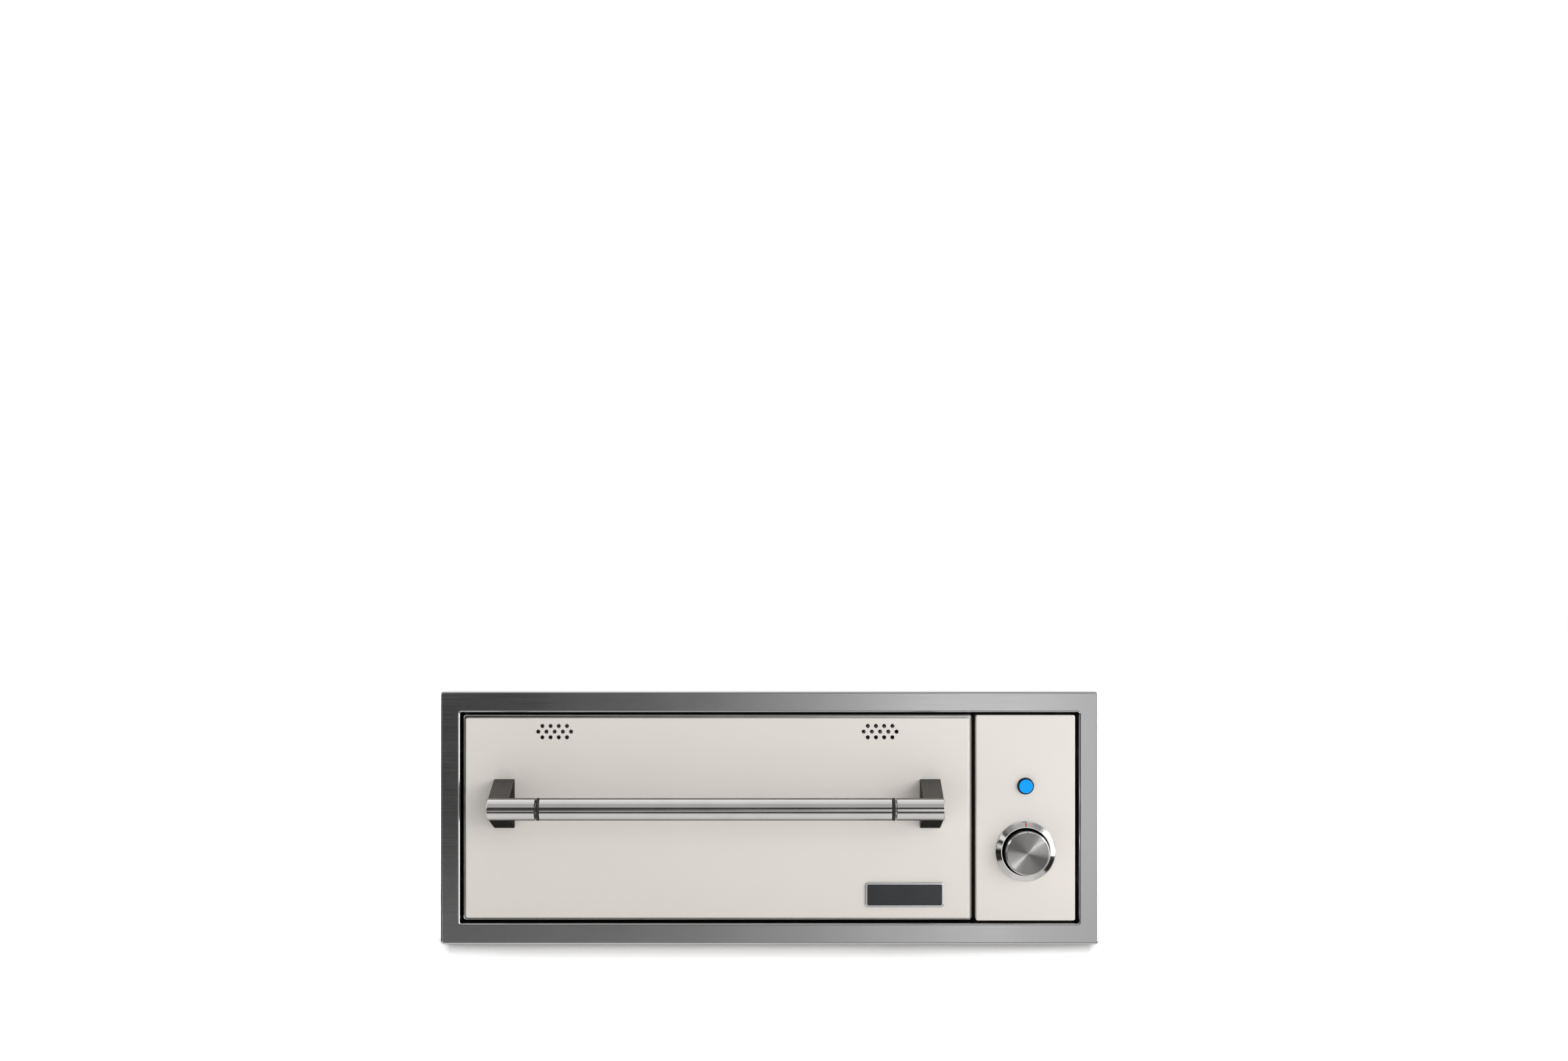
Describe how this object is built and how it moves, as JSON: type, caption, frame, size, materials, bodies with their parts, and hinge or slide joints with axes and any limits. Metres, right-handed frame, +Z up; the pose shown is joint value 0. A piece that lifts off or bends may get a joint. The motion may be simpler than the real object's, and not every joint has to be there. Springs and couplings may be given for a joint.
{
  "type": "built-in warming drawer",
  "caption": "Built-in warming drawer with a steel trim, a painted front with a bar handle and vent holes, and a side control panel with a knob and a push button.",
  "frame": {"origin": "on the trim's rear mounting plane, mid-width, level with the underside of the casing", "axes": "+X to the right of someone facing the front, +Y back into the cabinet, +Z up"},
  "size_m": [0.762, 0.6561, 0.293],
  "materials": {
    "trim_steel": "brushed along each bar",
    "casing_steel": "galvanised sheet",
    "cavity_steel": "satin stainless sheet",
    "frame_black": "heat-proof black enamel",
    "front_steel": "polished stainless sheet",
    "pan_steel": "satin stainless sheet",
    "slide_steel": "zinc plated",
    "cream_paint": "smooth semi-gloss enamel",
    "handle_steel": "polished steel",
    "black_rubber": "matt",
    "seal_silicone": "matt silicone",
    "badge_rim": "polished rim",
    "badge_black": "blank gloss field",
    "bezel_chrome": "polished",
    "knob_metal": "satin turned metal",
    "knob_face": "spun finish",
    "plain_steel": "plain turned steel",
    "thermostat_case": "plated case",
    "probe_copper": "bright copper",
    "switch_black": "moulded",
    "button_blue": "lit translucent blue",
    "element_sheath": "heat-darkened sheath",
    "white_ceramic": "ceramic",
    "wool": "mineral wool",
    "lead_sleeve": "sleeved leads",
    "gland_black": "moulded",
    "mark_red": "filled enamel mark",
    "mark_black": "filled enamel mark"
  },
  "bodies": {
    "chassis": {"trim_frame": "trim_steel", "casing_wrap": "casing_steel", "casing_top": "casing_steel", "casing_back": "casing_steel", "face_frame": "frame_black", "cavity_liner": "cavity_steel", "insulation_blanket": "wool", "divider_wall": "casing_steel", "mouth_gasket": "seal_silicone", "control_panel": "cream_paint", "knob_bezel": "bezel_chrome", "thermostat_body": "thermostat_case", "thermostat_nut": "plain_steel", "thermostat_probe": "probe_copper", "probe_clips": "cavity_steel", "switch_body": "switch_black", "switch_nut": "plain_steel", "heating_element": "element_sheath", "element_supports": "cavity_steel", "element_bushings": "white_ceramic", "terminal_block": "white_ceramic", "wiring_harness": "lead_sleeve", "cable_gland": "gland_black", "gland_nut": "plain_steel", "slide_outer_left": "slide_steel", "slide_outer_right": "slide_steel"},
    "drawer": {"drawer_front_panel": "cream_paint", "drawer_inner_front": "front_steel", "front_insulation": "wool", "vent_guides": "cavity_steel", "drawer_rear_rail": "cavity_steel", "drawer_pan": "pan_steel", "handle_bar": "handle_steel", "handle_rings": "black_rubber", "handle_screws": "plain_steel", "badge_frame": "badge_rim", "badge_inlay": "badge_black", "handle_bracket_left": "handle_steel", "handle_bracket_right": "handle_steel", "slide_inner_left": "slide_steel", "slide_inner_right": "slide_steel", "drawer_side_left": "cavity_steel", "drawer_side_right": "cavity_steel"},
    "slide_middle": {"slide_middle_left": "slide_steel", "slide_middle_right": "slide_steel"},
    "outer_cages": {"ball_cage_outer_left": "slide_steel", "ball_cage_outer_right": "slide_steel"},
    "inner_cages": {"ball_cage_inner_left": "slide_steel", "ball_cage_inner_right": "slide_steel"},
    "knob": {"knob_body": "knob_metal", "knob_cap": "knob_face", "knob_shaft": "plain_steel"},
    "button": {"button_cap": "button_blue"},
    "left_shutter": {"vent_shutter_left": "cavity_steel"},
    "right_shutter": {"vent_shutter_right": "cavity_steel"}
  },
  "joints": [
    {"name": "drawer_slide", "type": "slide", "parent": "chassis", "child": "drawer", "axis": [0, -1, 0], "range_m": [0, 0.44]},
    {"name": "slide_middle_travel", "type": "slide", "parent": "chassis", "child": "slide_middle", "axis": [0, -1, 0], "range_m": [0, 0.22]},
    {"name": "outer_cage_travel", "type": "slide", "parent": "chassis", "child": "outer_cages", "axis": [0, -1, 0], "range_m": [0, 0.11]},
    {"name": "inner_cage_travel", "type": "slide", "parent": "chassis", "child": "inner_cages", "axis": [0, -1, 0], "range_m": [0, 0.33]},
    {"name": "knob_turn", "type": "hinge", "parent": "chassis", "child": "knob", "pos_m": [0.2967, -0.025, 0.0858], "axis": [0, 1, 0], "range_deg": [0, 270]},
    {"name": "button_press", "type": "slide", "parent": "chassis", "child": "button", "axis": [0, 1, 0], "range_m": [0, 0.003], "stiffness_N_per_m": 500, "springref_m": -0.003},
    {"name": "left_shutter_slide", "type": "slide", "parent": "drawer", "child": "left_shutter", "axis": [1, 0, 0], "range_m": [0, 0.00475]},
    {"name": "right_shutter_slide", "type": "slide", "parent": "drawer", "child": "right_shutter", "axis": [1, 0, 0], "range_m": [0, 0.00475]}
  ],
  "couplings": [
    {"joint": "slide_middle_travel", "follows": "drawer_slide", "ratio": 0.5},
    {"joint": "outer_cage_travel", "follows": "drawer_slide", "ratio": 0.25},
    {"joint": "inner_cage_travel", "follows": "drawer_slide", "ratio": 0.75}
  ]
}
